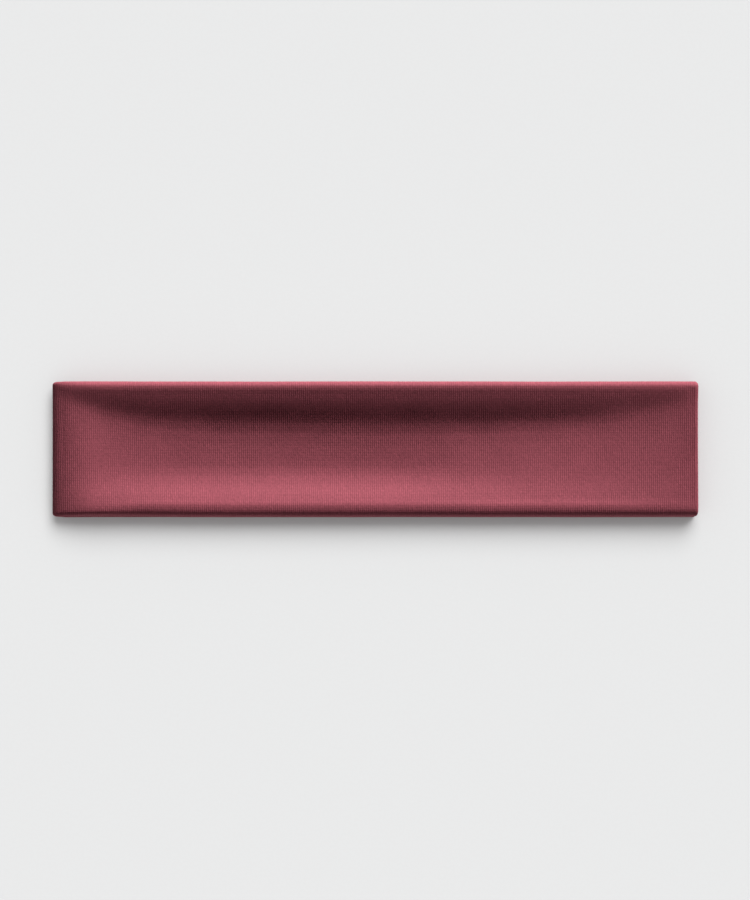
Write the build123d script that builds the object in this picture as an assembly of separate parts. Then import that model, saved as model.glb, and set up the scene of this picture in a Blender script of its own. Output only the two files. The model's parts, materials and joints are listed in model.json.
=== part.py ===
from build123d import *
import math
import os

# Sports headband: a closed loop of stretch knit, laid flat.  The back half rests
# on the table and the front half is stacked on top of it.  They turn into each
# other at a pressed fold at the -X end and are sewn together at the +X end.
#
# Each half is cut into equal links, hinged on straight lines along Y in the mid
# plane, so that the loop can open to a head-sized oval.  The cuts stand in for
# bending: the real knit, lining and elastic are each in one piece.
#
# Frame: millimetres, +X along the flat band, +Y across it, +Z up.
# Origin: centre of the footprint, on the resting plane.
# Sections use (y, w) or (x, w), where w is the distance outwards from the mid
# plane: up for the front half, down for the back half.

# ---- band ----
FLAT_LENGTH = 240.0        # end to end, laid flat
BAND_WIDTH = 50.6          # edge to edge
STACK_HEIGHT = 9.2         # both halves, at the rolled edges
HALF_L = FLAT_LENGTH / 2
HALF_W = BAND_WIDTH / 2
MID = STACK_HEIGHT / 2     # height of the mid plane, which holds the bending axes
FACE = MID                 # w of the outer face of a half

# ---- outer knit ----
OUTER_T = 0.9
TUBE_H = 3.4               # height of the rolled edge of one half
HEM = 6.0                  # width turned in at each edge
ROLL_R = TUBE_H / 2
ROLL_Y = HALF_W - ROLL_R   # centre of the rolled edge
ROLL_W = FACE - ROLL_R
HEM_IN = FACE - TUBE_H     # w of the inner face of the turned-in hem
ROLL_STEPS = 6
FACE_STEPS = 24

# how far the front face sinks between its rolled edges, link by link from -X
FRONT_SAG = [1.8, 3.8, 4.0, 4.0, 3.7, 2.5, 1.1]
# distances from the +Y edge: the face sinks from crest to foot, then rises again
TOP_CREST, TOP_FOOT = 1.9, 14.5
LOW_FOOT, LOW_CREST = 24.0, 46.0
RISE_POWER = 2.5           # holds the rise back towards its crest

# ---- lining ----
LINING_T = 0.6
LINING_HALF = 22.0         # half width
LINING_DRAPE = 2.2         # drapes this far outwards on the centre line
DRAPE_HALF = 19.0          # half width of the draped part
LINING_GAP = 0.15          # from the lining to the outer knit over it
LINING_EDGE = HEM_IN - 0.05    # w of its outer face at the edges, clear of the hem
LINING_STEPS = 32

# ---- elastic tape inside each rolled edge, and hem stitching ----
TAPE_W, TAPE_T = 3.0, 0.9
TAPE_IN = 1.4              # from the band's edge to the tape
TAPE_GAP = 0.15            # from the hem to the tape
THREAD_W, THREAD_T = 0.6, 0.25
THREAD_Y = 20.4            # stitching line, from the band's centre line
THREAD_GAP = 0.03          # from the lining to the thread

# ---- pressed fold and closing seam ----
FOLD_X = -115.0            # bending axis of the fold
FOLD_REACH = FOLD_X + HALF_L
FOLD_CLEAR = 0.3           # the first front link starts this far beyond the fold's reach
FOLD_STEPS = 16
FOLD_FOOT_GAP = 0.1        # from the wrap's foot on the back half to the lining and tapes
SEAM_X = 118.8             # seam line, in the mid plane
SLANT = (HALF_L - SEAM_X) / FACE   # the seamed ends lean back to the seam line
SEAM_ALLOWANCE = 6.5       # length of knit pressed back from the seam line
ALLOWANCE_IN = 0.25        # w of the allowance's inner face
SEAM_WALL_STEPS = 16
LINING_SHORT = 0.4         # lining and hem thread stop this far short of the allowance
TAPE_SHORT = 0.2           # tapes stop this far short of the seamed wall

# closing stitches: X range back from the seam line, w range, and spacing along Y
STITCH_X = (1.5, 1.1)
STITCH_DEPTH = (0.02, 0.22)
STITCH_PITCH, STITCH_L = 2.8, 2.2
STITCH_MARGIN = 0.2        # least distance from the last stitch to the allowance's edge

# ---- blank care label ----
LABEL_L, LABEL_W, LABEL_T = 11.0, 18.0, 0.3
LABEL_OUT = 0.55           # w of its outer face
LABEL_SHORT = 0.6          # stops this far short of the allowance

# ---- links ----
N_LINK = len(FRONT_SAG)
LINK_L = (SEAM_X - FOLD_X) / N_LINK
BEND_X = [FOLD_X + LINK_L * i for i in range(N_LINK + 1)]
BEND_GAP = 0.5             # each link stops this far short of its bending line


# ---- solids from sections ----
def to_z(side, w):
    return MID + w if side == "front" else MID - w


def extrude_outline(points, direction):
    wire = Wire.make_polygon([Vector(*p) for p in points], close=True)
    return Solid.extrude(Face(wire), Vector(*direction))


def along_x(outline, side, x0, x1):
    """Extrudes a closed (y, w) outline from x0 to x1."""
    return extrude_outline([(x0, y, to_z(side, w)) for y, w in outline], (x1 - x0, 0, 0))


def along_y(outline, side, half):
    """Extrudes a closed (x, w) outline from -half to half."""
    return extrude_outline([(x, -half, to_z(side, w)) for x, w in outline], (0, 2 * half, 0))


def block(side, x0, x1, y_mid, width, w0, w1):
    """A box between x0 and x1 and between w0 and w1, centred on y_mid."""
    place = Pos((x0 + x1) / 2, y_mid, to_z(side, (w0 + w1) / 2))
    return place * Box(x1 - x0, width, w1 - w0)


def save(name, *shapes):
    solids = [solid for shape in shapes for solid in shape.solids()]
    for i, solid in enumerate(solids, 1):
        solid.label = f"{name}_{i}"
    piece = solids[0] if len(solids) == 1 else Compound(label=name, children=solids)
    piece.label = name
    export_step(piece, f"parts/{name}.step")


# ---- curves across the band ----
def spread(half, steps):
    """Evenly spaced values from half down to -half."""
    return [half * (1 - 2 * i / steps) for i in range(steps + 1)]


def ease(t):
    t = min(max(t, 0.0), 1.0)
    return t * t * (3 - 2 * t)


def trough(y):
    """Share of the sag at y: 0 at the rolled edges, 1 along the hollow."""
    from_edge = HALF_W - y
    rise = (min(max(from_edge, LOW_FOOT), LOW_CREST) - LOW_FOOT) / (LOW_CREST - LOW_FOOT)
    fall = (from_edge - TOP_CREST) / (TOP_FOOT - TOP_CREST)
    return ease(fall) * (1 - ease(rise ** RISE_POWER))


def drape(y):
    """Share of the drape at y: 1 on the centre line, 0 at DRAPE_HALF and beyond."""
    return 0.5 * (1 + math.cos(math.pi * min(abs(y), DRAPE_HALF) / DRAPE_HALF))


# ---- outer knit ----
def roll(y_mid, radius, start):
    """Half a turn of points about a rolled edge, from the angle start."""
    angles = [start + math.pi * i / ROLL_STEPS for i in range(ROLL_STEPS + 1)]
    return [(y_mid + radius * math.cos(a), ROLL_W + radius * math.sin(a)) for a in angles]


def knit_line(sag, inset):
    """Hem, rolled edge, face, rolled edge and hem, from +Y to -Y, inset into the knit."""
    radius = ROLL_R - inset
    face_ys = spread(ROLL_Y, FACE_STEPS)[1:-1] if sag else []
    return [
        (HALF_W - HEM, HEM_IN + inset),
        *roll(ROLL_Y, radius, -math.pi / 2),
        *[(y, FACE - inset - sag * trough(y)) for y in face_ys],
        *roll(-ROLL_Y, radius, math.pi / 2),
        (-HALF_W + HEM, HEM_IN + inset),
    ]


def fold_arc(inset):
    """Points round the pressed fold, from the back half's face to the front half's."""
    angles = [-math.pi / 2 - math.pi * i / FOLD_STEPS for i in range(FOLD_STEPS + 1)]
    return [
        (FOLD_X + (FOLD_REACH - inset) * math.cos(a), -(FACE - inset) * math.sin(a))
        for a in angles
    ]


def fold_wrap():
    """The knit going round the fold, with a short foot along the back half."""
    foot_x = FOLD_X + BEND_GAP
    outline = [
        (foot_x, FACE),
        *fold_arc(0),
        *reversed(fold_arc(OUTER_T)),
        (foot_x, FACE - OUTER_T),
    ]
    return along_y(outline, "back", ROLL_Y)


def seam_plane(w, inset=0.0):
    return (SEAM_X + SLANT * w - inset, w)


def seam_end(outer, side, sag):
    """Closes a half at the seam: the knit turns in and is pressed back as an allowance."""
    # the tools overshoot the knit they cut or meet
    tool_top = 6
    cut_low, wall_low = -2, -1
    far_x = HALF_L + 4
    beyond = along_y(
        [seam_plane(cut_low), seam_plane(tool_top), (far_x, tool_top), (far_x, cut_low)],
        side, HALF_W + 2)

    # the wall follows the face, ending half way through its thickness
    wall_top = [
        (y, FACE - OUTER_T / 2 - sag * trough(y)) for y in spread(LINING_HALF, SEAM_WALL_STEPS)
    ]
    wall_outline = [(LINING_HALF, ALLOWANCE_IN), *wall_top, (-LINING_HALF, ALLOWANCE_IN)]
    wall = along_x(wall_outline, side, SEAM_X - 2, HALF_L + 1)
    slanted_slab = along_y(
        [seam_plane(wall_low, OUTER_T), seam_plane(tool_top, OUTER_T),
         seam_plane(tool_top), seam_plane(wall_low)],
        side, LINING_HALF + 1)

    allowance = block(side, SEAM_X - SEAM_ALLOWANCE, SEAM_X, 0, 2 * LINING_HALF,
                      ALLOWANCE_IN, HEM_IN)
    return ((outer - beyond) + (wall & slanted_slab) + allowance).clean()


def outer_fabric(side, x0, x1, sag):
    return along_x(knit_line(sag, 0) + knit_line(sag, OUTER_T)[::-1], side, x0, x1)


# ---- pieces inside the knit ----
def lining(side, x0, x1, sag):
    """Draped towards the outer knit and kept clear of it."""
    outer = [
        (y, min(LINING_EDGE + LINING_DRAPE * drape(y),
                FACE - OUTER_T - sag * trough(y) - LINING_GAP))
        for y in spread(LINING_HALF, LINING_STEPS)
    ]
    inner = [(y, w - LINING_T) for y, w in reversed(outer)]
    return along_x(outer + inner, side, x0, x1)


def edge_elastic(side, x0, x1):
    y_mid = HALF_W - TAPE_IN - TAPE_W / 2
    low = HEM_IN + OUTER_T + TAPE_GAP
    return [block(side, x0, x1, s * y_mid, TAPE_W, low, low + TAPE_T) for s in (1, -1)]


def hem_stitching(side, x0, x1):
    top = LINING_EDGE - LINING_T - THREAD_GAP
    return [block(side, x0, x1, s * THREAD_Y, THREAD_W, top - THREAD_T, top) for s in (1, -1)]


def closing_seam_thread():
    """One row of stitches beside the seam line, on the back half's allowance."""
    stitches = []
    y = -LINING_HALF + STITCH_PITCH / 2
    while y + STITCH_L / 2 < LINING_HALF - STITCH_MARGIN:
        stitches.append(block("back", SEAM_X - STITCH_X[0], SEAM_X - STITCH_X[1],
                              y, STITCH_L, *STITCH_DEPTH))
        y += STITCH_PITCH
    return stitches


def care_label():
    """Lies inside the back half, just short of the allowance."""
    x1 = SEAM_X - SEAM_ALLOWANCE - LABEL_SHORT
    return block("back", x1 - LABEL_L, x1, 0, LABEL_W, LABEL_OUT - LABEL_T, LABEL_OUT)


def save_link(side, i):
    """Saves the four pieces of one link; i counts from the fold."""
    sag = FRONT_SAG[i] if side == "front" else 0.0
    x0 = BEND_X[i] + BEND_GAP
    x1 = BEND_X[i + 1] - BEND_GAP
    at_seam = i == N_LINK - 1
    if i == 0:
        x0 = FOLD_X if side == "back" else FOLD_X + FOLD_REACH + FOLD_CLEAR
    if at_seam:
        x1 = HALF_L

    outer = outer_fabric(side, x0, x1, sag)
    inner_x0, inner_x1, tape_x1 = x0, x1, x1
    if i == 0 and side == "back":
        outer = (outer + fold_wrap()).clean()
        inner_x0 = x0 + BEND_GAP + FOLD_FOOT_GAP
    if at_seam:
        outer = seam_end(outer, side, sag)
        inner_x1 = SEAM_X - SEAM_ALLOWANCE - LINING_SHORT
        tape_x1 = SEAM_X - OUTER_T - TAPE_SHORT

    link = f"{side}_{i + 1}"
    save(f"outer_fabric_{link}", outer)
    save(f"lining_{link}", lining(side, inner_x0, inner_x1, sag))
    save(f"edge_elastic_{link}", *edge_elastic(side, inner_x0, tape_x1))
    save(f"hem_stitching_{link}", *hem_stitching(side, inner_x0, inner_x1))


os.makedirs("parts", exist_ok=True)
for side in ("back", "front"):
    for i in range(N_LINK):
        save_link(side, i)
save("closing_seam_thread", *closing_seam_thread())
save("care_label", care_label())
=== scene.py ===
"""A knitted band sewn into a loop and lying pressed flat.

Its length runs along X, from the fold at -X to the closing seam at +X, its width along Y
and its thickness along Z. The front half lies above the mid plane (+Z), the back half below.
Shapes are worked out in mm and turned into metres as each mesh is made.
"""
import json
import math
from collections import namedtuple

import bpy
import numpy as np
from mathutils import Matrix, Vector


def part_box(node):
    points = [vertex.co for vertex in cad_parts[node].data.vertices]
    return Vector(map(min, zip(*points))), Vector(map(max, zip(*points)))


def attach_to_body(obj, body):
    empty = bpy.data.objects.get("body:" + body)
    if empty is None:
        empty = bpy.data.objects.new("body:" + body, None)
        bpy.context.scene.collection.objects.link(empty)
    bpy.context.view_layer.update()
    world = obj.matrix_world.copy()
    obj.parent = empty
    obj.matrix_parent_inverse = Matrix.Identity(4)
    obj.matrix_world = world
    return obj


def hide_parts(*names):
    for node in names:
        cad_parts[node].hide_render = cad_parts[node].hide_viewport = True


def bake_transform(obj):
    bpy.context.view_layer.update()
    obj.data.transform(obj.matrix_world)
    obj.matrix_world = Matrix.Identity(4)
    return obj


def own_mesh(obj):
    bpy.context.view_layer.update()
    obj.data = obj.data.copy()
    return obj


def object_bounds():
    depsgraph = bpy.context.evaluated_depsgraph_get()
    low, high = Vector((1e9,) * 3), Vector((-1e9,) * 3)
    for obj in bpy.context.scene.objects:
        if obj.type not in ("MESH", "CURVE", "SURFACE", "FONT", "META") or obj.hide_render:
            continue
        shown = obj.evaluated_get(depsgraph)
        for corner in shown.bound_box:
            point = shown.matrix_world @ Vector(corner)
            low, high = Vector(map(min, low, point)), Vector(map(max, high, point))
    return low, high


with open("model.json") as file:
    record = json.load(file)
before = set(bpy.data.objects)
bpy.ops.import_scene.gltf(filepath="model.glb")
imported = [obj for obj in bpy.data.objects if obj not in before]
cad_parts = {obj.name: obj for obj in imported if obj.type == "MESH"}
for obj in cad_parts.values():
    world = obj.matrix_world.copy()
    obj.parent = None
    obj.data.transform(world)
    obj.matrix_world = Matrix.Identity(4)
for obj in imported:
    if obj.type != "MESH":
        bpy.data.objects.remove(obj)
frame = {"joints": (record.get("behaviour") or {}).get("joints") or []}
CAD_BOX = [list(map(float, c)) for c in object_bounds()]
MM = 0.001
TURN = 2 * math.pi
QUARTER = math.pi / 2
scene = bpy.context.scene

# ---------------------------------------------------------------- sizes, mm
JOINT = {joint["name"]: joint["pos_m"] for joint in frame["joints"]}
FOLD_X = JOINT["fold"][0] / MM
MID_Z = JOINT["fold"][2] / MM
LINKS = 7                      # bodies in each half
LINK = JOINT["front_bend_1"][0] / MM - FOLD_X
SEAM_X = FOLD_X + LINKS * LINK
HALF_LENGTH = CAD_BOX[1][0] / MM
HALF_WIDTH = CAD_BOX[1][1] / MM
FACE = CAD_BOX[1][2] / MM - MID_Z     # height of the outer face off the mid plane
LINK_MIDS = [FOLD_X + LINK * (k + 0.5) for k in range(LINKS)]

KNIT_THICK = 0.9
LINING_THICK = 0.58
HEM_IN = 1.2                   # height of the turned-in hem's inner face
HEM = 6.0                      # width of the hem
ALLOWANCE = 6.5                # length of the seam allowance
LINING_END = SEAM_X - ALLOWANCE - 0.15
TAPE_HEIGHT = 2.7

# The seam end leans: it stands at SEAM_X + SLANT * height
SLANT = (HALF_LENGTH - SEAM_X) / FACE
SLANT_HEIGHT = 2.3             # height at which the rounding's start is set
END_ROUND = 0.75
ROUND_X = SEAM_X + SLANT * SLANT_HEIGHT - END_ROUND

# A loop position is x on the front half. It runs on below FOLD_X round the fold,
# and past FOLD_BACK out along the back half.
FOLD_SPAN = 14.6
FOLD_BACK = FOLD_X - FOLD_SPAN
FOLD_PIECES = 6

# The cloth's height shrinks to nothing over the last stretch before the fold's crease
TAPER = 17.0
TAPER_X_POWER, TAPER_Z_POWER = 1.8, 1.6


def ease(share):
    share = np.clip(share, 0.0, 1.0)
    return share * share * (3 - 2 * share)


def unease(value):
    """The share at which ease gives value."""
    return 0.5 - math.sin(math.asin(1 - 2 * value) / 3)


def waves(x, seed, longest):
    """Smooth seeded waviness, about -1 to 1; longest is its longest wave in mm."""
    rng = np.random.default_rng(seed)
    x = np.asarray(x, float)
    total = np.zeros_like(x)
    for k in range(5):
        total += rng.uniform(0.5, 1.0) / (k + 1) * np.sin(
            TURN * x * (k + 1) * rng.uniform(0.8, 1.25) / longest + rng.uniform(0, 6.28)
        )
    return total / 1.6


def rows(*columns):
    """Points whose coordinates are the given columns; single values are repeated."""
    return np.stack(np.broadcast_arrays(*columns), -1)


# ---------------------------------------------------------------- relief of the face
def smooth_table(points, low, high, blur, step=0.1):
    """A table of (place, value) points as a smooth function."""
    places, values = zip(*points)
    grid = np.arange(low - 4 * blur, high + 4 * blur + step, step)
    curve = np.interp(grid, places, values)
    reach = np.arange(-3 * blur, 3 * blur + step, step)
    kernel = np.exp(-((reach / blur) ** 2) / 2)
    kernel /= kernel.sum()
    pad = len(kernel) // 2
    curve = np.convolve(np.pad(curve, pad, mode="edge"), kernel, mode="same")[pad:-pad]
    return lambda x: np.interp(x, grid, curve)


# The front face hangs below its rolled edges. The first three tables are
# (mm in from the +Y edge, share of the full depth).
FALL_START, FALL_RUN = 1.7, 14.5
FALL = smooth_table([       # steeply down from the +Y roll
    (0, 0), (1.7, 0), (3.2, 0.045), (5, 0.135), (6.5, 0.225), (8, 0.335), (9.5, 0.45),
    (11, 0.565), (12.5, 0.67), (14, 0.76), (17, 0.88), (21, 0.955), (25, 0.985),
    (29, 1), (60, 1),
], 0, 60, 0.6)
CLIMB = smooth_table([      # up again to the crest near the -Y edge
    (0, 1), (29, 1), (32, 0.985), (35, 0.90), (38, 0.71), (40, 0.525), (42, 0.31),
    (43.5, 0.175), (45, 0.07), (46.2, 0.022), (47.2, 0), (60, 0),
], 0, 60, 0.6)
EARLY_CLIMB = smooth_table([    # the earlier, more even climb near the seam
    (0, 1), (15, 1), (19, 0.965), (23, 0.90), (27, 0.82), (31, 0.725), (35, 0.61),
    (38, 0.49), (41, 0.33), (43.5, 0.19), (45, 0.095), (46.2, 0.035), (47.2, 0), (60, 0),
], 0, 60, 0.8)
# (x, full depth in mm)
DEPTH = smooth_table([
    (-122, 0.3), (-118, 0.42), (-114, 0.8), (-109, 1.5), (-102, 2.6), (-90, 3.7),
    (-75, 4.3), (-60, 4.7), (-40, 4.8), (10, 4.8), (40, 4.5), (65, 3.9), (85, 3.1),
    (100, 2.3), (113.5, 1.15), (117, 0.6), (119, 0.25),
], -122, 122, 2.0)
# (x, width in mm taken by what is FALL_RUN wide in the FALL table)
FALL_WIDTH = smooth_table([
    (-122, 3.4), (-117, 4.5), (-110, 7.2), (-102, 10.2), (-87, 13.8), (-65, 16.0),
    (0, 16.8), (40, 16.5), (65, 15.4), (91, 12.2), (113, 7.6), (120, 6.0),
], -122, 122, 3.0)
# (x, share of the early climb)
EARLY_SHARE = smooth_table([
    (-122, 0.45), (-100, 0.45), (-80, 0.1), (5, 0.0), (60, 1.0), (122, 1.0),
], -122, 122, 6.0)


def trough(inward, x):
    """Share of the full depth at a distance in from the +Y edge."""
    fall = FALL_START + (inward - FALL_START) * FALL_RUN / FALL_WIDTH(x)
    early = EARLY_SHARE(x)
    climb = CLIMB(inward) * (1 - early) + EARLY_CLIMB(inward) * early
    return FALL(np.maximum(fall, 0)) * climb


def face_sag(y, x, front):
    """How far the face lies below FACE; front is 1 on the front half, 0 on the back."""
    inward = HALF_WIDTH - y
    back_dip = ease((inward - 1.9) / 6.5) * (1 - ease((inward - 40.0) / 6.0))
    sag = front * (DEPTH(x) * trough(inward, x))
    sag = sag + (1 - front) * 0.28 * back_dip
    # soft, shallow unevenness of cloth lying free
    soft = ease((inward - 6) / 9) * (1 - ease((inward - 38) / 8))
    uneven = 0.09 * waves(x + 0.6 * y, 11, 90) + 0.04 * waves(x - 1.3 * y, 12, 37)
    sag = sag + front * soft * uneven
    # a narrow valley just inside the +X end
    valley = np.exp(-(((x - 117.25) / 0.42) ** 2))
    return sag + front * valley * (0.10 + 0.30 * np.exp(-((inward - 1.5) / 3.0) ** 2))


# ---------------------------------------------------------------- section across the band
UNDER_STEPS, ROLL_STEPS, FACE_STEPS = 10, 12, 72
FLANGE_STEPS, BEND_STEPS = 6, 8
BEND_RUN = 1.6      # width over which the hem's inner face bends into the roll


def edges(x, front):
    """y of one half's +Y and -Y edges."""
    top = HALF_WIDTH - (1 - front) * 0.30 - 0.05 * (1 + waves(x, 21, 120))
    narrowing = np.exp(-(((x + 98.0) / 16.0) ** 2))
    low = HALF_WIDTH - front * (0.42 + 0.30 * narrowing) - 0.05 * (1 + waves(x, 22, 95))
    return top, -low


def outline(x, front, tip=0.0):
    """The outer surface of one half: (y, height) from the +Y hem to the -Y hem.
    tip is 1 at the crease of the fold, where the cloth is pulled square."""
    top, low = edges(x, front)
    near_seam = ease((x - 113.0) / 5.0)
    flange = HEM_IN * (1 - near_seam) + 0.16 * near_seam
    belly = 0.22 - 0.06 * near_seam       # lowest height of the roll
    # height of the roll's middle, and the widths of its quarters below and above it
    roll_mid = 2.35 + 0.10 * waves(x, 31, 70)
    under = 2.15 + 0.12 * waves(x, 32, 55)
    over_top = front * 1.9 + (1 - front) * 2.1
    over_low = front * (3.7 - 1.2 * ease((-84.0 - x) / 16.0)) + (1 - front) * 2.1
    low_power = 2 / (2 + 0.5 * front * (1 - tip))
    over_top += (1.25 - over_top) * tip
    over_low += (1.35 - over_low) * tip
    roll_mid += (3.15 - roll_mid) * tip
    under += (1.7 - under) * tip
    rise = FACE - roll_mid

    def hem(edge, sign):
        """The hem and the lower quarter of the roll, from the hem's cut edge outwards."""
        centre = edge - sign * under
        cut = edge - sign * HEM
        line = []
        for i in range(FLANGE_STEPS):
            line.append((cut + (centre - sign * BEND_RUN - cut) * (i / FLANGE_STEPS), flange))
        for i in range(BEND_STEPS):
            share = i / BEND_STEPS
            line.append((centre - sign * BEND_RUN * (1 - share),
                         flange + (belly - flange) * ease(share)))
        for i in range(UNDER_STEPS):
            angle = -QUARTER + QUARTER * i / UNDER_STEPS
            line.append((centre + sign * under * math.cos(angle),
                         roll_mid + (roll_mid - belly) * math.sin(angle)))
        return line

    points = hem(top, 1)
    for i in range(ROLL_STEPS):
        angle = QUARTER * i / ROLL_STEPS
        points.append((top - over_top + over_top * math.cos(angle),
                       roll_mid + rise * math.sin(angle)))
    start, end = top - over_top, low + over_low
    ys = start + (end - start) * np.arange(FACE_STEPS + 1) / FACE_STEPS
    sag = face_sag(ys, x, front) * (1 - 0.92 * tip)
    # no sag where the face meets the rolls
    sag = sag * (1 - np.exp(-(((ys - start) / 1.4) ** 2)))
    sag = sag * (1 - np.exp(-(((ys - end) / 1.4) ** 2)))
    points += list(zip(ys, FACE - sag))
    for i in range(ROLL_STEPS - 1, -1, -1):
        angle = QUARTER * i / ROLL_STEPS
        points.append((low + over_low - over_low * math.cos(angle) ** low_power,
                       roll_mid + rise * math.sin(angle) ** low_power))
    points += hem(low, -1)[::-1][1:]
    return np.array(points)


def inset(points, distance, closed=False):
    """The curve moved inwards; it has to run from +Y over the face to -Y."""
    if closed:
        along = np.roll(points, -1, 0) - np.roll(points, 1, 0)
    else:
        along = np.gradient(points, axis=0)
    along /= np.maximum(np.linalg.norm(along, axis=1, keepdims=True), 1e-9)
    return points + np.stack([-along[:, 1], along[:, 0]], 1) * distance


# ---------------------------------------------------------------- places round the loop
def taper(x):
    """The cloth's height near the fold, as a share of its full height."""
    share = np.clip((-HALF_LENGTH + TAPER - x) / TAPER, 0, 1)
    return float((1 - share**TAPER_X_POWER) ** (1 / TAPER_Z_POWER))


def fold_reach(angle):
    """Distance from the fold's axis to the end's profile, over the full height."""
    low, high = 0.0, 8.0
    cosine, sine = math.cos(angle), math.sin(angle)
    for _ in range(50):
        reach = (low + high) / 2
        share = max((-HALF_LENGTH + TAPER - FOLD_X - reach * cosine) / TAPER, 0)
        if share**TAPER_X_POWER + (reach * abs(sine) / FACE) ** TAPER_Z_POWER > 1:
            high = reach
        else:
            low = reach
    return low / FACE


def fold_angle(pos):
    return QUARTER + math.pi * (FOLD_X - pos) / FOLD_SPAN


def back_x(pos):
    return FOLD_X + (FOLD_BACK - pos)


def pos_of(x, side):
    """Loop position of x on the front or back half."""
    return x if side == "front" else FOLD_BACK - (x - FOLD_X)


def place(pos, y, height):
    """Loop position, y and height off the mid plane, as x, y, z in mm."""
    if pos >= FOLD_X:
        return rows(pos, y, MID_Z + height * taper(pos))
    if pos > FOLD_BACK:
        angle = fold_angle(pos)
        reach = fold_reach(angle)
        return rows(FOLD_X + height * reach * math.cos(angle), y,
                    MID_Z + height * reach * math.sin(angle))
    x = back_x(pos)
    return rows(x, y, MID_Z - height * taper(x))


WRAP_ANGLES = np.linspace(QUARTER, 3 * QUARTER, 241)
WRAP_RADII = np.array([fold_reach(float(a)) * FACE for a in WRAP_ANGLES])
WRAP_STEPS = np.hypot(np.diff(WRAP_RADII * np.cos(WRAP_ANGLES)),
                      np.diff(WRAP_RADII * np.sin(WRAP_ANGLES)))
WRAP = np.concatenate([[0], np.cumsum(WRAP_STEPS)])


def cloth_length(pos):
    """Length along the knit itself, so that its ribs keep their pitch round the fold."""
    if pos >= FOLD_X:
        return pos
    if pos > FOLD_BACK:
        return FOLD_X - float(np.interp(fold_angle(pos), WRAP_ANGLES, WRAP))
    return pos + FOLD_SPAN - float(WRAP[-1])


def shape_at(pos):
    """(x, front share, tip) that the section takes its shape from."""
    if pos >= FOLD_X:
        return pos, 1.0, 0.0
    if pos > FOLD_BACK:
        share = (FOLD_X - pos) / FOLD_SPAN
        return FOLD_X, 1 - float(ease(share)), float(ease(1 - abs(2 * share - 1)))
    return back_x(pos), 0.0, 0.0


# ---------------------------------------------------------------- spans of the loop
# Each piece off the fold is listed with two bodies, and with the shares of the hinge's turn
# at its start and end. The shares follow a circle through the hinge lines.
Span = namedtuple("Span", "side number start end bodies turns", defaults=(None, None))


def make_spans():
    spans = []
    first_half = (FOLD_X + LINK_MIDS[0]) / 2
    last_half = (LINK_MIDS[-1] + ROUND_X) / 2
    # number, start x, end x, hinge, turn at start, turn at end
    table = [(1, FOLD_X, first_half, 1, 0.0, 0.118),
             (0, first_half, LINK_MIDS[0], 1, 0.118, 0.25)]
    table += [(k + 1, LINK_MIDS[k - 1], LINK_MIDS[k], k, 0.25, 0.75) for k in range(1, LINKS)]
    table += [(LINKS + 1, LINK_MIDS[-1], last_half, LINKS - 1, 0.75, 0.882),
              (LINKS + 2, last_half, ROUND_X, LINKS - 1, 0.882, 1.0)]
    for side in ("back", "front"):
        for number, start, end, hinge, *turns in table:
            bodies = (f"{side}_{hinge}", f"{side}_{hinge + 1}")
            spans.append(Span(side, number, pos_of(start, side), pos_of(end, side),
                              bodies, tuple(turns)))
    for k in range(FOLD_PIECES):
        start, end = (FOLD_X - FOLD_SPAN * (1 - i / FOLD_PIECES) for i in (k, k + 1))
        spans.append(Span("fold", k + 1, start, end))
    return spans


SPANS = make_spans()


def span_end(span, last_x):
    """The span's end, drawn back to last_x in the span beside the seam."""
    return pos_of(last_x, span.side) if span.number == LINKS + 2 else span.end


def attach(obj, span, height):
    """Works out the turn line of a piece lying at this height between its two bodies, which
    nothing uses, and bakes the piece's transform into its mesh.
    """
    start, end = (place(pos, 0.0, height) for pos in (span.start, span.end))
    start[1:] = end[1:] = (0, MID_Z)
    share_start, share_end = (unease(turn) for turn in span.turns)
    run = (end - start) / (share_end - share_start)
    start = start - run * share_start
    tuple(start * MM)
    tuple((start + run) * MM)
    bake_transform(obj)


# ---------------------------------------------------------------- mesh tools
pieces = []


def mesh_object(name, points, faces, material, cloth, smooth=40):
    """cloth holds (mm along, mm across, layer) for each point; smooth is in degrees."""
    mesh = bpy.data.meshes.new(name)
    mesh.from_pydata((np.asarray(points) * MM).tolist(), [], faces)
    mesh.validate()
    mesh.update()
    for polygon in mesh.polygons:
        polygon.use_smooth = True
    mesh.set_sharp_from_angle(angle=math.radians(smooth))
    attribute = mesh.attributes.new("cloth", "FLOAT_VECTOR", "POINT")
    attribute.data.foreach_set("vector", np.asarray(cloth, np.float32).ravel())
    obj = bpy.data.objects.new(name, mesh)
    scene.collection.objects.link(obj)
    mesh.materials.append(material)
    pieces.append(obj)
    return obj


def tube_faces(stations, ring, cap_pairs=None):
    """Faces of a closed tube. Its ends are single faces, or quads from cap_pairs."""
    faces = []
    for i in range(stations - 1):
        a, b = i * ring, (i + 1) * ring
        for j in range(ring):
            k = (j + 1) % ring
            faces.append((a + j, b + j, b + k, a + k))
    last = (stations - 1) * ring
    for quad in cap_pairs or [tuple(range(ring))]:
        faces.append(quad)
        faces.append(tuple(last + j for j in reversed(quad)))
    return faces


def flipped(faces):
    return [tuple(reversed(face)) for face in faces]


def shifted(faces, base):
    return [tuple(base + j for j in face) for face in faces]


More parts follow.
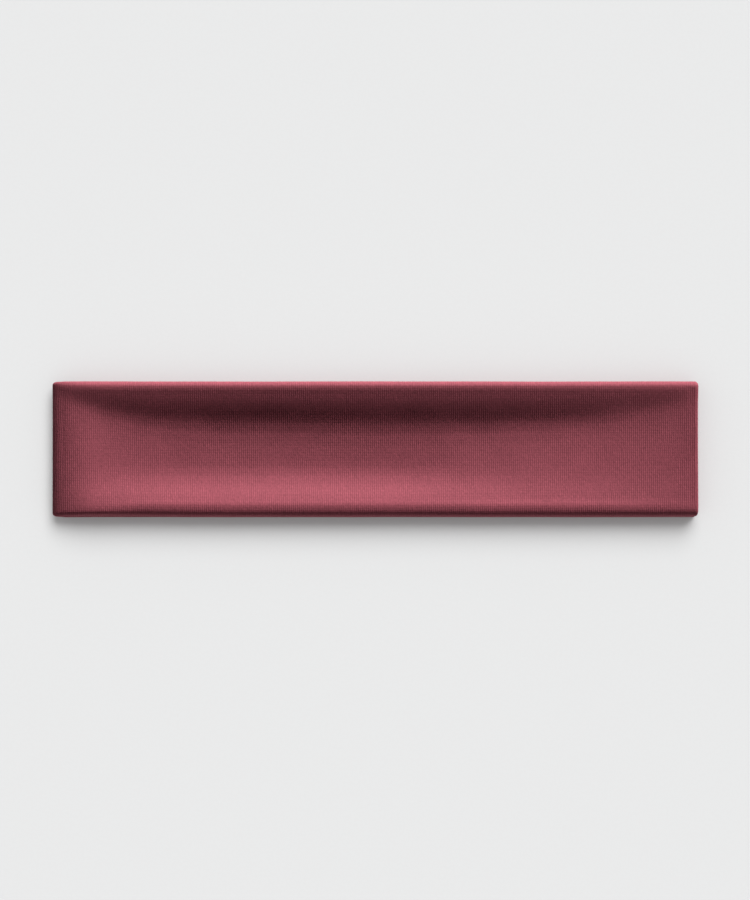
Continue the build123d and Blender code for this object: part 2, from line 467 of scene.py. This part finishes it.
def shell_part(positions, section, skin, thick):
    """A sheet from skin to thick below the section's curve, as (points, faces, cloth)."""
    points, cloth = [], []
    for pos in positions:
        outer_line = section(pos)
        inner_line = inset(outer_line, thick)
        if skin:
            outer_line = inset(outer_line, skin)
        count = len(outer_line)
        steps = np.linalg.norm(np.diff(outer_line, axis=0), axis=1)
        across = np.concatenate([[0], np.cumsum(steps)])
        across = across - across[count // 2]
        line = np.concatenate([outer_line, inner_line[::-1]])
        points.append(place(pos, line[:, 0], line[:, 1]))
        cloth.append(rows(cloth_length(pos), np.concatenate([across, across[::-1]]),
                          np.repeat([0.0, 1.0], count)))
    ring = 2 * count
    pairs = [(j, j + 1, ring - 2 - j, ring - 1 - j) for j in range(count - 1)]
    faces = tube_faces(len(positions), ring, pairs)
    return np.concatenate(points), faces, np.concatenate(cloth)


def shell(prefix, span, end, section, thick, material, step):
    """A closed shell over a span; section(pos) gives its outer curve.
    Where the next piece is listed with another hinge, a tongue runs on inside it."""
    low, high = min(span.start, end), max(span.start, end)
    count = max(int(math.ceil((high - low) / step)), 4) + 1
    if span.side == "fold":
        count = 17
    points, faces, cloth = shell_part(np.linspace(low, high, count), section, 0.0, thick)
    if span.side != "fold" and 2 <= span.number < LINKS:
        out = 1 if end > span.start else -1
        positions = np.sort(end + out * np.array([-1.0, 0.0, 0.6, 1.2, 2.2]))
        more, more_faces, more_cloth = shell_part(positions, section, 0.018, thick - 0.06)
        faces += shifted(more_faces, len(points))
        points = np.concatenate([points, more])
        cloth = np.concatenate([cloth, more_cloth])
    name = f"{prefix}_{span.side}_{span.number}"
    return mesh_object(name, points, faces, material, cloth)


# ---------------------------------------------------------------- shader tools
def feed(tree, value, socket):
    """Links a Value, or sets a number or a colour."""
    if isinstance(value, Value):
        tree.links.new(value.socket, socket)
    else:
        socket.default_value = (*value, 1.0) if isinstance(value, tuple) else value


class Value:
    """A shader output; arithmetic on it adds maths nodes."""

    def __init__(self, tree, socket):
        self.tree = tree
        self.socket = socket

    def math(self, operation, *others, clamp=False):
        node = self.tree.nodes.new("ShaderNodeMath")
        node.operation = operation
        node.use_clamp = clamp
        for i, value in enumerate((self, *others)):
            feed(self.tree, value, node.inputs[i])
        return Value(self.tree, node.outputs[0])

    def __add__(self, other):
        return self.math("ADD", other)

    def __sub__(self, other):
        return self.math("SUBTRACT", other)

    def __mul__(self, other):
        return self.math("MULTIPLY", other)

    def __truediv__(self, other):
        return self.math("DIVIDE", other)

    def scale_add(self, factor, offset):
        return self.math("MULTIPLY_ADD", factor, offset)


def new_material(name):
    material = bpy.data.materials.new(name)
    material.use_nodes = True
    tree = material.node_tree
    tree.nodes.clear()
    output = tree.nodes.new("ShaderNodeOutputMaterial")
    bsdf = tree.nodes.new("ShaderNodeBsdfPrincipled")
    tree.links.new(bsdf.outputs[0], output.inputs[0])
    return material, tree, bsdf


def set_inputs(bsdf, **values):
    for name, value in values.items():
        feed(bsdf.id_data, value, bsdf.inputs[name.replace("_", " ")])


def cloth_values(tree):
    """(mm along, mm across) from the mesh."""
    node = tree.nodes.new("ShaderNodeAttribute")
    node.attribute_type, node.attribute_name = "GEOMETRY", "cloth"
    split = tree.nodes.new("ShaderNodeSeparateXYZ")
    tree.links.new(node.outputs["Vector"], split.inputs[0])
    return Value(tree, split.outputs[0]), Value(tree, split.outputs[1])


def noise(tree, vector, scale, detail=2.0, roughness=0.5):
    node = tree.nodes.new("ShaderNodeTexNoise")
    node.inputs["Scale"].default_value = scale
    node.inputs["Detail"].default_value = detail
    node.inputs["Roughness"].default_value = roughness
    tree.links.new(vector, node.inputs["Vector"])
    return Value(tree, node.outputs[0])


def cloth_noise(along, across, per_mm, **settings):
    """Noise over the cloth; per_mm is its frequency along and across."""
    tree = along.tree
    scaled = (along * per_mm[0], across * per_mm[1])
    node = tree.nodes.new("ShaderNodeCombineXYZ")
    for i, value in enumerate(scaled):
        feed(tree, value, node.inputs[i])
    return noise(tree, node.outputs[0], scale=1.0, **settings)


def mix(factor, dark, light):
    tree = factor.tree
    node = tree.nodes.new("ShaderNodeMix")
    node.data_type = "RGBA"
    for i, value in ((0, factor), (6, dark), (7, light)):
        feed(tree, value, node.inputs[i])
    return Value(tree, node.outputs[2])


def bump(height, depth, normal=None):
    """depth is in mm."""
    tree = height.tree
    node = tree.nodes.new("ShaderNodeBump")
    node.inputs["Distance"].default_value = depth * MM
    feed(tree, height, node.inputs["Height"])
    if normal is not None:
        feed(tree, normal, node.inputs["Normal"])
    return Value(tree, node.outputs[0])


# ---------------------------------------------------------------- materials
KNIT_COLOUR = (0.275, 0.0650, 0.0850)


def knit_material(name, colour, rib_pitch, stitch_pitch, depth, sheen, rough,
                  rough_spread=0.0, nap_depth=0.0):
    """Ribs run across the band; pitches and depths are in mm."""
    material, tree, bsdf = new_material(name)
    along, across = cloth_values(tree)
    # the ribs wander a little, as drawn threads do
    wander = cloth_noise(along, across, per_mm=(0.10, 0.10))
    ribs = (along + (wander - 0.5) * 0.9) / rib_pitch
    rib_number = ribs.math("FLOOR")
    off_middle = ribs - rib_number - 0.5
    off_either_way = off_middle.math("ABSOLUTE")
    rib = (off_middle * math.pi).math("COSINE")
    rib = rib.math("MAXIMUM", 0.0).math("POWER", 0.7)
    vee = ((across / stitch_pitch + off_either_way * 1.1) * TURN).math("COSINE")
    vee = vee.scale_add(0.5, 0.5)
    # the yarn shows as short strokes: no rib is drawn through at one height
    stroke = cloth_noise(rib_number, across, per_mm=(2.63, 0.62)).scale_add(1.5, 0.05)
    height = rib * stroke * 0.72 + vee * rib * 0.28
    # each rib has its own tone, drifting along its length
    yarn = cloth_noise(rib_number, across, per_mm=(3.17, 0.22))
    patch = cloth_noise(along, across, per_mm=(0.045, 0.07), detail=3.0)
    speck = cloth_noise(along, across, per_mm=(1.9, 1.1), detail=1.0)
    tone = (yarn - 0.5) * 0.30 + 1.0
    tone = tone + (patch - 0.5) * 0.16 + (speck - 0.5) * 0.55
    # painted shade: the colour is darker in the valleys between the ribs, where shade falls
    tone = tone * height.scale_add(0.24, 0.84)    # darker between the ribs
    share = (tone - 0.30).math("MULTIPLY", 0.615, clamp=True)
    dark = tuple(c * 0.30 for c in colour)
    light = tuple(min(c * 1.9, 1.0) for c in colour)
    set_inputs(bsdf, Base_Color=mix(share, dark, light), Roughness=rough, Sheen_Weight=sheen,
               Sheen_Roughness=0.38, Specular_IOR_Level=0.09, Sheen_Tint=(1.0, 0.62, 0.66))
    if rough_spread:
        set_inputs(bsdf, Roughness=yarn.scale_add(rough_spread, rough - rough_spread / 2))
    normal = bump(height, depth)
    if nap_depth:
        nap = cloth_noise(along, across, per_mm=(2.2, 2.2), detail=4.0, roughness=0.7)
        normal = bump(nap, nap_depth, normal)
    set_inputs(bsdf, Normal=normal)
    return material


def finish_weave(bsdf, height, dark, light, depth, **settings):
    """Relief from one height, and colour from it with painted shade, darker where the height
    is low; depth is in mm.
    """
    # painted shade: the low parts of the weave get the dark colour, as if in shade
    set_inputs(bsdf, Base_Color=mix(height, dark, light), **settings)
    set_inputs(bsdf, Normal=bump(height, depth))


def wave_of(value, pitch):
    return (value * (TURN / pitch)).math("SINE")


def elastic_material():
    material, tree, bsdf = new_material("elastic_tape")
    along, across = cloth_values(tree)
    pick = wave_of(along, pitch=0.8)
    cord = wave_of(across, pitch=0.75)
    height = (pick * cord).scale_add(0.25, cord.scale_add(0.25, 0.5))
    # painted shade: the hollows between the cords and picks get the darker grey
    finish_weave(bsdf, height, dark=(0.42, 0.40, 0.385), light=(0.74, 0.72, 0.69), depth=0.12,
                 Roughness=0.7, Sheen_Weight=0.2)
    return material


def thread_material():
    material, tree, bsdf = new_material("sewing_thread")
    along, around = cloth_values(tree)
    twist_pitch = 0.55
    ply = (along * (TURN / twist_pitch) + around * TURN).math("SINE")
    # painted shade: the grooves of the twist get the darker red
    finish_weave(bsdf, ply.scale_add(0.5, 0.5), dark=(0.16, 0.036, 0.05),
                 light=(0.33, 0.085, 0.11), depth=0.05,
                 Roughness=0.45, Sheen_Weight=0.3, Specular_IOR_Level=0.5)
    return material


def label_material():
    material, tree, bsdf = new_material("label_tape")
    along, across = cloth_values(tree)
    warp = wave_of(along, pitch=0.35)
    weft = wave_of(across, pitch=0.35)
    # painted shade: the low points of the weave get the darker grey
    finish_weave(bsdf, (warp * weft).scale_add(0.5, 0.5), dark=(0.66, 0.65, 0.63),
                 light=(0.84, 0.83, 0.81), depth=0.04, Roughness=0.5, Sheen_Weight=0.1)
    return material


OUTER = knit_material("outer_knit", KNIT_COLOUR, rib_pitch=0.75, stitch_pitch=0.62,
                      depth=0.10, sheen=0.08, rough=0.76, rough_spread=0.14)
LINING = knit_material("lining_knit", tuple(c * 0.72 for c in KNIT_COLOUR), rib_pitch=0.9,
                       stitch_pitch=0.7, depth=0.05, sheen=0.2, rough=0.88, nap_depth=0.22)
ELASTIC, THREAD, LABEL = elastic_material(), thread_material(), label_material()


# ---------------------------------------------------------------- outer knit
def outer_section(pos):
    return outline(*shape_at(pos))


def outer_knit(span):
    step = 0.5 if span.number == 1 else 1.2
    return shell("outer_knit", span, span.end, outer_section, KNIT_THICK, OUTER, step)


def seam_end(side):
    """The knit rounding over at a half's +X end, and the end face down to the seam line."""
    sign = 1 if side == "front" else -1
    base = outline(ROUND_X, 1.0 if side == "front" else 0.0)
    count = len(base)
    low_y, high_y = base[-1, 0], base[0, 0]
    floor_steps = 44
    floor_y = low_y + (high_y - low_y) * np.arange(1, floor_steps) / floor_steps
    ring = np.concatenate([base, rows(floor_y, base[0, 1])])

    # the first rings hide inside the neighbouring piece
    hidden = inset(ring, 0.45, closed=True)
    rings = [inset(ring, 0.55, closed=True), hidden, hidden, ring]
    xs = [ROUND_X - 3.0, ROUND_X - 2.0, ROUND_X, ROUND_X]
    steps = 8
    for i in range(1, steps + 1):
        angle = QUARTER * i / steps
        line = inset(ring, END_ROUND * (1 - math.cos(angle)), closed=True)
        # the side towards the other half isn't rounded
        line[count:, 1] = base[0, 1]
        line[:, 1] = np.maximum(line[:, 1], base[0, 1])
        lean = SLANT * (line[:, 1] - SLANT_HEIGHT)
        rings.append(line)
        xs.append(ROUND_X + END_ROUND * math.sin(angle) + lean * math.sin(angle))
    # the end face closes in towards a line
    rim = rings[-1]
    middle = rows(np.clip(rim[:, 0], low_y - 3.0, high_y + 3.0), 1.7)
    for share in (0.86, 0.62, 0.34, 0.12):
        line = middle + (rim - middle) * share
        rings.append(line)
        xs.append(ROUND_X + END_ROUND + SLANT * (line[:, 1] - SLANT_HEIGHT))

    points, cloth = [], []
    for line, x in zip(rings, xs):
        points.append(rows(x, line[:, 0], MID_Z + sign * line[:, 1]))
        down = (FACE - line[:, 1]) * (x > ROUND_X + END_ROUND * 0.9)
        cloth.append(rows(pos_of(x, side) + sign * down, line[:, 0], 0.0))
    faces = tube_faces(len(rings), len(ring))
    if side == "back":
        faces = flipped(faces)
    return mesh_object(f"closing_seam_end_{side}", np.concatenate(points), faces, OUTER,
                       np.concatenate(cloth), 50)


def seam_allowance(side):
    """The knit pressed back over its own half: a sheet with rounded long edges."""
    sign = 1 if side == "front" else -1
    start, end = SEAM_X - ALLOWANCE, ROUND_X - 0.2
    half_width = 21.6
    low, high = 0.28, 1.05
    radius = (high - low) / 2
    middle = (low + high) / 2
    flat = half_width - radius
    ys = np.linspace(-flat, flat, 41)
    arc = [QUARTER - math.pi * i / 8 for i in range(1, 8)]
    ring = [(y, high) for y in ys]
    ring += [(flat + radius * math.cos(a), middle + radius * math.sin(a)) for a in arc]
    ring += [(y, low) for y in ys[::-1]]
    ring += [(-flat - radius * math.cos(a), middle - radius * math.sin(a)) for a in arc]
    y, height = np.array(ring).T
    xs = [start, start, start + 0.2] + list(np.linspace(start + 0.8, end, 10))
    thickness_shares = [0.5, 0.8] + [1.0] * 11
    points, cloth = [], []
    for x, share in zip(xs, thickness_shares):
        points.append(rows(x, y, MID_Z + sign * (middle + (height - middle) * share)))
        cloth.append(rows(x, y, 1.0))
    faces = tube_faces(len(xs), len(ring))
    if side == "front":
        faces = flipped(faces)
    return mesh_object(f"seam_allowance_{side}", np.concatenate(points), faces, OUTER,
                       np.concatenate(cloth), 60)


# ---------------------------------------------------------------- lining
def lining_section(pos):
    """The lining's surface that faces the outer knit, +Y to -Y."""
    half_width, rim_start = 21.8, 19.0
    ys = half_width - 2 * half_width * np.arange(57) / 56
    x, front, tip = shape_at(pos)
    edge = HEM_IN - 0.06
    free = 1 - ease((x - LINING_END + 17.0) / 15.5)
    drape = 1 + np.cos(np.pi * np.minimum(np.abs(ys), rim_start) / rim_start)
    wanted = edge + free * 2.2 * 0.5 * drape
    face = FACE - face_sag(ys, x, front) * (1 - 0.92 * tip)
    limit = face - KNIT_THICK - 0.18
    # the lower of the two, smoothly joined
    blur = 0.25
    share = np.clip(0.5 + 0.5 * (limit - wanted) / blur, 0, 1)
    height = limit * (1 - share) + wanted * share - blur * share * (1 - share)
    height = np.minimum(height, limit)
    rim = ease((np.abs(ys) - rim_start) / 0.8)
    height = height * (1 - rim) + edge * rim
    height = height - 0.05 * (1 - rim) * free * (1 + waves(x + 0.7 * ys, 41, 45))
    if FOLD_BACK < pos < FOLD_X:
        height = np.maximum(height, 0.75)
    return np.stack([ys, height], 1)


def lining(span):
    return shell("lining", span, span_end(span, LINING_END), lining_section, LINING_THICK,
                 LINING, step=1.6)


# ---------------------------------------------------------------- elastic tapes
def tape_pair(span):
    """Flat tapes inside the two rolled edges."""
    end = span_end(span, SEAM_X - 1.3)
    low, high = min(span.start, end), max(span.start, end)
    count = max(int(math.ceil((high - low) / 2.0)), 3) + 1
    if span.side == "fold":
        count = 9
    half_width, half_thick, edge_gap = 1.5, 0.45, 1.4
    ring = []
    for i in range(20):
        angle = TURN * i / 20
        cosine, sine = math.cos(angle), math.sin(angle)
        ring.append((half_width * math.copysign(abs(cosine) ** 0.35, cosine),
                     half_thick * math.copysign(abs(sine) ** 0.5, sine)))
    across, height = np.array(ring).T
    points, cloth, faces = [], [], []
    for sign in (1, -1):
        faces += shifted(tube_faces(count, len(ring)), len(points) * len(ring))
        middle = sign * (HALF_WIDTH - edge_gap - half_width)
        for pos in np.linspace(low, high, count):
            points.append(place(pos, middle + across, TAPE_HEIGHT + height))
            cloth.append(rows(pos, across, 0.0))
    return mesh_object(f"edge_elastic_{span.side}_{span.number}", np.concatenate(points),
                       faces, ELASTIC, np.concatenate(cloth), 60)


# ---------------------------------------------------------------- stitching
def thread_tube(path, radius):
    """A closed tube along path, thinner at its ends, as (points, faces, cloth)."""
    path = np.asarray(path, float)
    along = np.gradient(path, axis=0)
    along /= np.linalg.norm(along, axis=1, keepdims=True)
    steps = np.linalg.norm(np.diff(path, axis=0), axis=1)
    lengths = np.concatenate([[0], np.cumsum(steps)])
    sides = 8
    points, cloth = [], []
    for i, (centre, ahead) in enumerate(zip(path, along)):
        up = np.array([0.0, 0.0, 1.0])
        if abs(ahead @ up) >= 0.95:
            up = np.array([0.0, 1.0, 0.0])
        first = np.cross(ahead, up)
        first /= np.linalg.norm(first)
        second = np.cross(ahead, first)
        here = radius * 0.45 if i in (0, len(path) - 1) else radius
        for j in range(sides):
            angle = TURN * j / sides
            points.append(centre + here * (math.cos(angle) * first + math.sin(angle) * second))
            cloth.append((lengths[i], j / sides, 0.0))
    return np.array(points), tube_faces(len(path), sides), np.array(cloth)


def join_tubes(name, tubes):
    faces, base = [], 0
    for points, tube, _ in tubes:
        faces += shifted(tube, base)
        base += len(points)
    return mesh_object(name, np.concatenate([tube[0] for tube in tubes]), faces, THREAD,
                       np.concatenate([tube[2] for tube in tubes]), 80)


def lining_inner_height(y, pos):
    section = lining_section(pos)[::-1]
    return float(np.interp(y, section[:, 0], section[:, 1])) - LINING_THICK


def hem_stitching(span):
    """A row of stitches along each edge of the lining, or None where there are none."""
    pitch = 2.6
    stitch = pitch * 0.82
    row_start = pos_of(LINING_END, "back") + 0.3
    row_end = LINING_END - 0.3
    low, high = min(span.start, span.end), max(span.start, span.end)
    tubes = []
    for k in range(int((row_end - row_start) / pitch)):
        start = row_start + k * pitch
        if not low <= start + stitch / 2 < high:
            continue
        # each stitch sinks into the cloth at both ends
        for sign in (1, -1):
            path = []
            for i in range(7):
                share = i / 6
                pos = start + stitch * share
                y = sign * (20.4 + 0.25 * (2 * share - 1))
                lift = 0.30 * math.sin(math.pi * share) ** 0.6
                path.append(place(pos, y, lining_inner_height(y, pos) + 0.10 - lift))
            tubes.append(thread_tube(path, 0.17))
    if not tubes:
        return None
    return join_tubes(f"hem_stitching_{span.side}_{span.number}", tubes)


def seam_threads():
    """Zigzag overlock over the allowance's cut edge, and the seam row itself."""
    tubes = []
    outer_x, inner_x, overlock_z = SEAM_X - 6.75, SEAM_X - 4.2, MID_Z - 0.11
    pitch = 1.6
    for y in np.arange(-20.4, 20.4, pitch):
        corners = [(outer_x, y, overlock_z), (inner_x, y + pitch / 2, overlock_z),
                   (outer_x, y + pitch, overlock_z)]
        for start, end in zip(corners, corners[1:]):
            tubes.append(thread_tube(np.linspace(start, end, 6), 0.13))
    stitch, pitch = 2.2, 2.8
    y = -20.6
    while y + stitch < 20.8:
        path = []
        for i in range(7):
            sink = 0.10 * (1 - math.sin(math.pi * i / 6))
            path.append((SEAM_X - 1.3, y + stitch * i / 6, MID_Z - 0.12 - sink))
        tubes.append(thread_tube(path, 0.11))
        y += pitch
    return join_tubes("closing_seam_thread_row", tubes)


# ---------------------------------------------------------------- care label
def care_label():
    """A thin sheet, slightly curled and thicker round three sides, its +X end in the seam."""
    low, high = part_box("care_label")
    start, half_width = low[0] / MM, high[1] / MM
    length = high[0] / MM + 2.0 - start
    z = (low[2] + high[2]) / 2 / MM
    along, across, thick, hem_thick = 24, 37, 0.12, 0.015
    points, cloth = [], []
    for face in (1, -1):
        for i in range(along + 1):
            x = start + length * i / along
            for j in range(across + 1):
                y = -half_width + 2 * half_width * j / across
                curl = 0.05 * math.sin(3.1 * y / half_width + 0.6) * (1 - i / along)
                hem = hem_thick if i < 3 or min(j, across - j) < 2 else 0.0
                points.append((x, y, z - 0.02 + curl + face * (thick / 2 + hem)))
                cloth.append((x, y, 0.0))
    row = across + 1
    count = (along + 1) * row
    faces = []
    for i in range(along):
        for j in range(across):
            a = i * row + j
            quad = (a, a + row, a + row + 1, a + 1)
            faces.append(quad)
            faces.append(tuple(count + v for v in reversed(quad)))
    border = [i * row for i in range(along + 1)]
    border += [along * row + j for j in range(1, row)]
    border += [i * row + across for i in range(along - 1, -1, -1)]
    border += list(range(across - 1, 0, -1))
    for a, b in zip(border, border[1:] + border[:1]):
        faces.append((b, a, count + a, count + b))
    return mesh_object("care_label_blank", points, faces, LABEL, cloth, 50)


def seam_ridge():
    """The pinched knit along the seam line."""
    ring = 18
    ys = np.linspace(-24.7, 24.7, 84)
    points, cloth = [], []
    for y in ys:
        rounding = math.sqrt(max(1 - (abs(y) / 24.9) ** 24, 0.02))
        radius = 0.62 * rounding * (1 + 0.06 * float(waves(y, 51, 9)))
        for j in range(ring):
            angle = TURN * j / ring
            points.append((SEAM_X - 0.15 + radius * math.cos(angle), y,
                           MID_Z + radius * math.sin(angle)))
            cloth.append((radius * angle, y, 0.0))
    return mesh_object("closing_seam_ridge", points, flipped(tube_faces(len(ys), ring)),
                       OUTER, cloth, 60)


# ---------------------------------------------------------------- building the band
outer = {span: outer_knit(span) for span in SPANS}
seam_pieces = [(side, make(side)) for side in ("back", "front")
               for make in (seam_end, seam_allowance)]
linings = {span: lining(span) for span in SPANS}
tapes = {span: tape_pair(span) for span in SPANS}
stitches = {span: hem_stitching(span) for span in SPANS}
seam_thread = seam_threads()
label = care_label()
ridge = seam_ridge()

# pieces, CAD node prefix, material slot, height off the mid plane
GROUPS = (
    (outer, "outer_fabric", "outer_knit", FACE - 0.3),
    (linings, "lining", "lining_knit", 2.4),
    (tapes, "edge_elastic", "elastic", TAPE_HEIGHT),
    (stitches, "hem_stitching", "thread", 0.6),
)
for span in SPANS:
    for group, prefix, slot, height in GROUPS:
        obj = group[span]
        if obj is None:
            continue
        if span.side == "fold":
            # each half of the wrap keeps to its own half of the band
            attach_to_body(obj, "back_1" if span.number <= FOLD_PIECES // 2 else "front_1")
            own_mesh(obj)
        else:
            attach(obj, span, height)
        if span.side != "fold" and 1 <= span.number <= LINKS:
            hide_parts(f"{prefix}_{span.side}_{span.number}")

for side, obj in seam_pieces:
    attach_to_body(obj, f"{side}_{LINKS}")
for obj, slot, node in (
    (seam_thread, "thread", "closing_seam_thread"),
    (ridge, "outer_knit", None),
    (label, "label", "care_label"),
):
    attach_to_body(obj, f"back_{LINKS}")
    if node:
        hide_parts(node)


# ---------------------------------------------------------------- the studio, metres
def stage_floor():
    mesh = bpy.data.meshes.new("floor")
    half, z = 6.0, -0.0001
    corners = [(-half, -half, z), (half, -half, z), (half, half, z), (-half, half, z)]
    mesh.from_pydata(corners, [], [(0, 1, 2, 3)])
    obj = bpy.data.objects.new("floor", mesh)
    scene.collection.objects.link(obj)
    material, tree, bsdf = new_material("paper_floor")
    where = tree.nodes.new("ShaderNodeTexCoord")
    grain = noise(tree, where.outputs["Object"], scale=900.0)
    set_inputs(bsdf, Base_Color=mix(grain, (0.325, 0.326, 0.327), (0.335, 0.336, 0.337)),
               Roughness=0.95, Specular_IOR_Level=0.05)
    mesh.materials.append(material)
    return obj


def sun_light(name, elevation, azimuth, energy, spread, receivers):
    """A sun that lights only its receivers. Angles are in degrees, azimuth from +Y to +X."""
    up, turn = math.radians(elevation), math.radians(azimuth)
    to_light = Vector((math.sin(turn) * math.cos(up), math.cos(turn) * math.cos(up),
                       math.sin(up)))
    sun = bpy.data.lights.new(name, "SUN")
    sun.energy = energy
    sun.angle = math.radians(spread)
    obj = bpy.data.objects.new(name, sun)
    obj.rotation_euler = to_light.to_track_quat("Z", "Y").to_euler()
    scene.collection.objects.link(obj)
    obj.light_linking.receiver_collection = receivers


def make_world():
    """A faint ambient light, with a plain grey seen by the camera."""
    world = bpy.data.worlds.new("studio")
    scene.world = world
    world.use_nodes = True
    tree = world.node_tree
    tree.nodes.clear()
    output = tree.nodes.new("ShaderNodeOutputWorld")
    light_path = tree.nodes.new("ShaderNodeLightPath")
    shades = []
    for colour, strength in (((0.985, 0.99, 1.0, 1), 0.05), ((0.80, 0.80, 0.80, 1), 1.0)):
        shade = tree.nodes.new("ShaderNodeBackground")
        shade.inputs[0].default_value = colour
        shade.inputs[1].default_value = strength
        shades.append(shade)
    mixer = tree.nodes.new("ShaderNodeMixShader")
    tree.links.new(light_path.outputs["Is Camera Ray"], mixer.inputs[0])
    tree.links.new(shades[0].outputs[0], mixer.inputs[1])
    tree.links.new(shades[1].outputs[0], mixer.inputs[2])
    tree.links.new(mixer.outputs[0], output.inputs[0])


def make_camera():
    """Looks straight down on the band."""
    view_width = 1.39534884 * 2 * HALF_LENGTH * MM    # seen at the height of the mid plane
    camera = bpy.data.cameras.new("camera")
    camera.lens = 100
    camera.sensor_width = 36
    camera.clip_start, camera.clip_end = 0.01, 50
    obj = bpy.data.objects.new("camera", camera)
    distance = view_width * camera.lens / camera.sensor_width
    obj.location = (0, -0.0002, MID_Z * MM + distance)
    scene.collection.objects.link(obj)
    scene.camera = obj


floor = stage_floor()

# One window: the band takes its low, raking light, and the pale floor its wide spread
band_only = bpy.data.collections.new("band_only")
floor_only = bpy.data.collections.new("floor_only")
floor_only.objects.link(floor)
for obj in pieces:
    band_only.objects.link(obj)
sun_light("window_light", elevation=18, azimuth=25, energy=8.3, spread=13,
          receivers=band_only)
sun_light("low_fill", elevation=3, azimuth=188, energy=0.8, spread=3, receivers=band_only)
sun_light("window_on_floor", elevation=47, azimuth=17, energy=6.1, spread=45,
          receivers=floor_only)
sun_light("room_on_floor", elevation=88, azimuth=17, energy=3.2, spread=160,
          receivers=floor_only)
make_world()
make_camera()
scene.view_settings.view_transform = "Standard"
scene.view_settings.look = "None"
